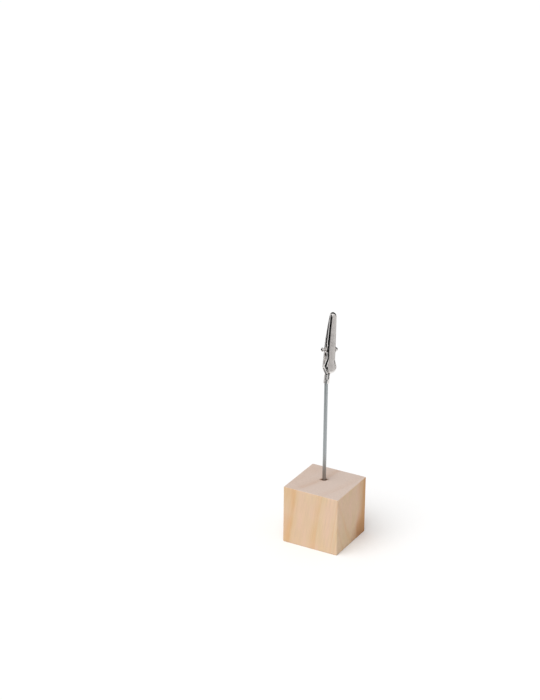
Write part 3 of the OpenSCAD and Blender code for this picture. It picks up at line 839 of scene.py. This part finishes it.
def outward(line, i, closed):
    """The direction out of an outline at one of its points."""
    last = len(line) - 1
    before = line[i - 1] if i else (-line[0][0], line[0][1]) if closed else line[0]
    after = line[i + 1] if i < last else (-line[last][0], line[last][1])
    along_line = (Vector(after) - Vector(before)).normalized()
    return along_line.y, -along_line.x


def rib(front, spot, out, level, r, bends, wall):
    """front is 1 for the moving jaw and -1 for the fixed one. bends are the folds' turns, right and left."""
    halves = []
    for side, bend in zip((1, -1), bends):
        halves.append([from_pin(side * max(0.002, spot[0] - inset * out[0]), -front * (level(z) - depth), z)
                       for inset, depth in section(r, bend, wall) for z in [spot[1] - inset * out[1]]])
    return halves[0] + halves[1][::-1]


print("points in one side of a rib:", len(section(FOLD_R, pi / 2, 1.0)))

# %% A skin over the ribs, and the pin's holes
def skin(ribs, open_tail):
    """Faces over a row of ribs. A closed end joins its two sides, and an open tail shows the sheet's edge."""
    m, half_count, top = len(ribs[0]), len(ribs[0]) // 2, (len(ribs) - 1) * len(ribs[0])
    quads = ring_quads(len(ribs), m)
    for o in [top] if open_tail else [0, top]:
        quads += [(o + k, o + m - 1 - k, o + m - 2 - k, o + k + 1) for k in range(half_count - 1)]
    if open_tail:
        for start in (0, half_count):
            quads += [(start + k, start + k + 1, start + half_count - 2 - k, start + half_count - 1 - k)
                      for k in range(half_count // 2 - 1)]
        quads.append((0, half_count - 1, half_count, m - 1))
    return quads


def lathe(profile, sides):
    """Points and faces of a shape turned about the pin's line. profile is (place along the pin, radius)."""
    points = [from_pin(x, r * cos(2 * pi * k / sides), r * sin(2 * pi * k / sides)) for x, r in profile
              for k in range(sides)]
    return points, ring_quads(len(profile), sides)


def drill_for_pin(piece):
    """Drills the pin's hole through a jaw's ears."""
    reach, r = 4, PIN_D / 2 + PIN_GAP
    drill = make_piece("drill", *lathe([(-reach, 0), (-reach, r), (reach, r), (reach, 0)], 48), nickel)
    cut = piece.modifiers.new("pin hole", "BOOLEAN")
    cut.object, cut.operation, cut.solver = drill, "DIFFERENCE", "EXACT"
    apply_modifiers(piece)
    bpy.data.objects.remove(drill)
    finish_shading(piece)
    print(f"{piece.name}: {len(piece.data.polygons)} faces with the pin's holes")


print("pin hole in mm:", round(PIN_D + 2 * PIN_GAP, 2))

# %% [markdown]
# ## The two jaws
# The moving jaw is the front half of the clip: the finger pad, the lever, the inner ears and the front of
# the nose. The fixed jaw is the rear half: its lower end is rolled round the wire as a crimp with a slanting
# seam, and opens into a channel, the outer ears and the rear of the nose.

# %% The moving jaw
# Its sides stand square between the ears, where they must not rub, and flare a little elsewhere. The flare
# starts and is full at these distances from the pin, in ear radii
JAW_BEND = radians(85)
FLARE_FROM, FLARE_TO = 1.4, 2.2
jaw_ribs = []
for i, spot in enumerate(jaw_outline):
    r = mix(FOLD_R, PAD_FOLD_R, eased(-spot[1], -waist_z, -pad_z))
    bend = mix(pi / 2, JAW_BEND, eased(abs(spot[1]) / EAR_R, FLARE_FROM, FLARE_TO))
    wall = wall_length(face(spot[1]) - jaw_rim(spot[1]), r, bend)
    jaw_ribs.append(rib(1, spot, outward(jaw_outline, i, True), face, r, (bend, bend), wall))
front_jaw = make_piece("front_jaw", [p for line in jaw_ribs for p in line], skin(jaw_ribs, False), nickel)
drill_for_pin(front_jaw)
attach(front_jaw, "jaw")
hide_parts("moving_jaw")

# %% The fixed jaw with its crimp
ROLL_TURN, SEAM_SLANT, FIXED_BEND = radians(171), radians(26), radians(87)
fixed_ribs = []
for i, spot in enumerate(fixed_outline):
    opened = eased(spot[1], crimp_z, channel_z)
    slant = (1 - opened) * SEAM_SLANT * (2 * eased(spot[1], SEAM_FROM, SEAM_TO) - 1)
    r, bend = mix(crimp_half, FOLD_R, opened), mix(ROLL_TURN, FIXED_BEND, opened)
    wall = opened * wall_length(behind(spot[1]) - fixed_rim(spot[1]), FOLD_R, FIXED_BEND)
    fixed_ribs.append(rib(-1, spot, outward(fixed_outline, i, False), behind, r,
                          (bend - slant, bend + slant), wall))
rear_jaw = make_piece("rear_jaw", [p for line in fixed_ribs for p in line], skin(fixed_ribs, True), nickel)
drill_for_pin(rear_jaw)
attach(rear_jaw, "stand")
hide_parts("fixed_jaw")

# %% [markdown]
# ## The pin and the spring
# The pin is a short shaft with a domed head pressed on each end. It sits loosely, and has slid to the left.
# Such a pin is turned on a lathe, so its profile is turned about its line here too, which keeps it round.
# The spring is a coil round the pin: one leg leans on the lever, the other on the floor of the channel, and
# the coil winds up when the pad is pressed. Here it is drawn where it rests, and rides on neither body.

# %% The hinge pin
PIN_SLIDE, PIN_NECK, HEAD_R, HEAD_LEN = 0.5, 0.7, 1.0, 1.1
head_from = EAR_W / 2 + PIN_NECK
dome = [(head_from + HEAD_LEN - HEAD_R + HEAD_R * sin(a), HEAD_R * cos(a)) for a in
        [radians(mix(-2, 88, k / 16)) for k in range(17)]]
half_pin = [(0, PIN_D / 2), (head_from - 0.12, PIN_D / 2), (head_from, PIN_D / 2 + 0.05),
            (head_from, HEAD_R - 0.1), (head_from + 0.02, HEAD_R - 0.03)]
half_pin += dome + [(head_from + HEAD_LEN, 0)]
pin_profile = [(-x, r) for x, r in half_pin[:0:-1]] + half_pin
pin_profile = [(x - PIN_SLIDE, r) for x, r in pin_profile]
clip_pin = make_piece("clip_pin", *lathe(pin_profile, 40), nickel)
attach(clip_pin, "stand")
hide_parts("hinge_pin")

# %% Material of the spring
spring_steel, tree, shader = new_material("drawn_spring_steel")
spot = add(tree, "ShaderNodeTexCoord").outputs["Object"]
# Oil and heat leave patches about 0.8 mm across on hard-drawn wire
patches = add(tree, "ShaderNodeTexNoise", {"Vector": spot, "Scale": 1 / 0.8 / MM, "Detail": 3.0})
tone = add(tree, "ShaderNodeMix", {"Factor": patches, 6: linear("#6A6868"), 7: linear("#8C8A88")},
           data_type="RGBA")
tree.links.new(tone.outputs[2], shader.inputs["Base Color"])
shader.inputs["Metallic"].default_value = 1.0
dull = add(tree, "ShaderNodeMapRange", {"Value": patches, "To Min": 0.25, "To Max": 0.42})
tree.links.new(dull.outputs[0], shader.inputs["Roughness"])
print("spring nodes:", len(tree.nodes))

# %% The spring
SPRING_D, COIL_TURNS, LEG_LEN, COIL_GAP, SPRING_GAP = 0.5, 3, 6.4, 0.35, 0.05
POINTS_PER_TURN = 32
coil_r = (PIN_D + SPRING_D) / 2 + COIL_GAP
clear = SHEET + SPRING_GAP + SPRING_D / 2
coil_end = jaw_w / 2 - clear
lever_leg = (-LEG_LEN, face(-LEG_LEN) - clear)
floor_leg = (-LEG_LEN, -behind(-LEG_LEN) + clear)
first_turn = atan2(*lever_leg) + acos(coil_r / hypot(*lever_leg))
last_turn = 2 * pi * (COIL_TURNS + 1) + atan2(*floor_leg) - acos(coil_r / hypot(*floor_leg))
steps = ceil((last_turn - first_turn) / (2 * pi) * POINTS_PER_TURN)
spring_path = [from_pin(coil_end / 2, -lever_leg[1], lever_leg[0])]
for step in range(steps + 1):
    turn = mix(first_turn, last_turn, step / steps)
    spring_path.append(from_pin(mix(coil_end, -coil_end, step / steps), -coil_r * cos(turn),
                                coil_r * sin(turn)))
spring_path.append(from_pin(-coil_end / 2, -floor_leg[1], floor_leg[0]))
coil_spring = bent_wire("coil_spring", spring_path, SPRING_D / 2, spacing=0.12, sides=14, cut_edge=0.1,
                        finish=spring_steel)
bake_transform(coil_spring)
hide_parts("torsion_spring")

# %% [markdown]
# ## Floor and light
# The set is a plain white table under soft light. A camera ray sees the floor as pure white, as in a
# catalogue picture, but the floor is still lit and keeps the object's shadow.

# %% Floor
def sees_background(tree):
    """1 for a ray that shows the white background: the camera's, mirrored or let through by a piece."""
    ray = add(tree, "ShaderNodeLightPath")
    seen = ray.outputs["Is Camera Ray"]
    for kind in ("Is Glossy Ray", "Is Transmission Ray"):
        seen = add(tree, "ShaderNodeMath", {0: seen, 1: ray.outputs[kind]}, operation="MAXIMUM")
    return seen


paper, tree, shader = new_material("white_table_paper")
seen = sees_background(tree)
paper_tone = add(tree, "ShaderNodeMix", {"Factor": seen, 6: linear("#E8E8E8"), 7: linear("#FFFFFF")},
                 data_type="RGBA")
tree.links.new(paper_tone.outputs[2], shader.inputs["Base Color"])
shader.inputs["Roughness"].default_value = 1.0
shader.inputs["Specular IOR Level"].default_value = 0.0
FLOOR_HALF = 6000
floor_corners = [(x * FLOOR_HALF, y * FLOOR_HALF, 0) for x, y in ((-1, -1), (1, -1), (1, 1), (-1, 1))]
floor = make_piece("floor", floor_corners, [(0, 1, 2, 3)], paper)

# %% World and lamps
# Strength of the room's light and of the lamp. The lamp is wide and stands high at the front left
SKY, SUN, SUN_SPREAD = 0.52, 1.85, radians(60)
SUN_FROM = Vector((-0.12, -0.5, 0.86))
world = bpy.data.worlds.new("soft_room")
scene.world = world
world.use_nodes = True
tree = world.node_tree
seen = sees_background(tree)
level = add(tree, "ShaderNodeMapRange", {"Value": seen, "To Min": SKY, "To Max": 1.0})
sky = tree.nodes["Background"]
sky.inputs["Color"].default_value = (1, 1, 1, 1)
tree.links.new(level.outputs[0], sky.inputs["Strength"])

key_lamp = bpy.data.objects.new("key_lamp", bpy.data.lights.new("key_lamp", "SUN"))
scene.collection.objects.link(key_lamp)
key_lamp.data.energy, key_lamp.data.angle = SUN, SUN_SPREAD
key_lamp.rotation_mode = "QUATERNION"
key_lamp.rotation_quaternion = SUN_FROM.to_track_quat("Z", "Y")
key_lamp.visible_glossy = False

# %% [markdown]
# ## Reflection cards
# Chrome and nickel only look like metal when there is something dark to reflect, so a photographer stands
# grey and black cards round the set. Here the cards are seen by reflections alone: they cast no shadow.

# %% Finish of the reflection cards
def card_material(name, colour):
    material, _, shader = new_material(name)
    shader.inputs["Base Color"].default_value = linear(colour)
    shader.inputs["Roughness"].default_value = 0.9
    return material


black_card = card_material("black_card", "#101010")
dull_card = card_material("dull_card", "#A8A2A2")
shade_card = card_material("shade_card", "#D1CFCE")
grey_card = card_material("grey_card", "#E1DEDD")
pale_card = card_material("pale_card", "#F8F6F4")
rear_card = card_material("rear_card", "#C4C0BE")
print("materials with the CAD model's own:", len(bpy.data.materials))

# %% Helper that hangs a card
# A near card hangs in front of a far one where both would stand at the same place
FAR, NEAR = 400, 399


def hang_card(name, lower, upper, start, end, material):
    """A curved card round the object. Angles start at the front and go to the right."""
    steps = 24
    points = []
    for k in range(steps + 1):
        turn = radians(mix(start, end, k / steps))
        points += [(far * sin(turn), -far * cos(turn), height) for far, height in (lower, upper)]
    faces = [(2 * k, 2 * k + 2, 2 * k + 3, 2 * k + 1) for k in range(steps)]
    card = make_piece(name, points, faces, material)
    card.visible_camera = card.visible_diffuse = card.visible_shadow = card.visible_transmission = False


print("cards stand", FAR, "mm away")

# %% The cards
# Name, (distance, height) of both edges in millimetres, first and last angle in degrees, and finish
CARDS = (
    ("card_left", (FAR, 0), (FAR, 420), -98, 8, black_card),
    ("card_front", (FAR, 0), (FAR, 130), 8, 55, black_card),
    ("card_shade", (FAR, 0), (FAR, 130), 55, 61, shade_card),
    ("card_right", (FAR, 0), (FAR, 130), 61, 67, grey_card),
    ("card_far_right", (FAR, 0), (FAR, 130), 67, 165, pale_card),
    ("card_nose_light", (NEAR, 55), (NEAR, 76), 57, 67, pale_card),
    ("card_right_low", (NEAR, 0), (NEAR, 47), 61, 66, shade_card),
    ("card_nose", (NEAR, 62), (NEAR, 130), 84, 130, black_card),
    ("card_floor_right", (230, 1), (FAR, 1), 80, 165, dull_card),
    ("card_floor_left", (330, 1), (FAR, 1), -98, -60, black_card),
    ("card_floor_front", (240, 1), (FAR, 1), -60, 40, black_card),
    ("card_floor_back", (250, 1), (FAR, 1), -130, -112, black_card),
    ("card_floor_edge", (220, 1), (250, 1), -130, -112, dull_card),
    # Sloped as the camera looks down, so that the wire sees its edge alone and only the pad mirrors it
    ("card_under_pad", (8, 76.7), (130, 25.6), -60, 46, black_card),
    ("card_rear", (FAR, 0), (FAR, 135), 165, 230, rear_card),
    ("card_floor_rear", (140, 1), (FAR, 1), 165, 230, rear_card),
    ("card_behind", (FAR, 135), (FAR, 600), 96, 250, black_card),
    ("card_above", (20, 600), (FAR, 600), 80, 265, black_card),
)
for card in CARDS:
    hang_card(*card)
print("reflection cards:", len(CARDS))

# %% [markdown]
# ## Finishing
# The view transform is Standard, so that a colour shows as it is written.

scene.view_settings.view_transform = "Standard"
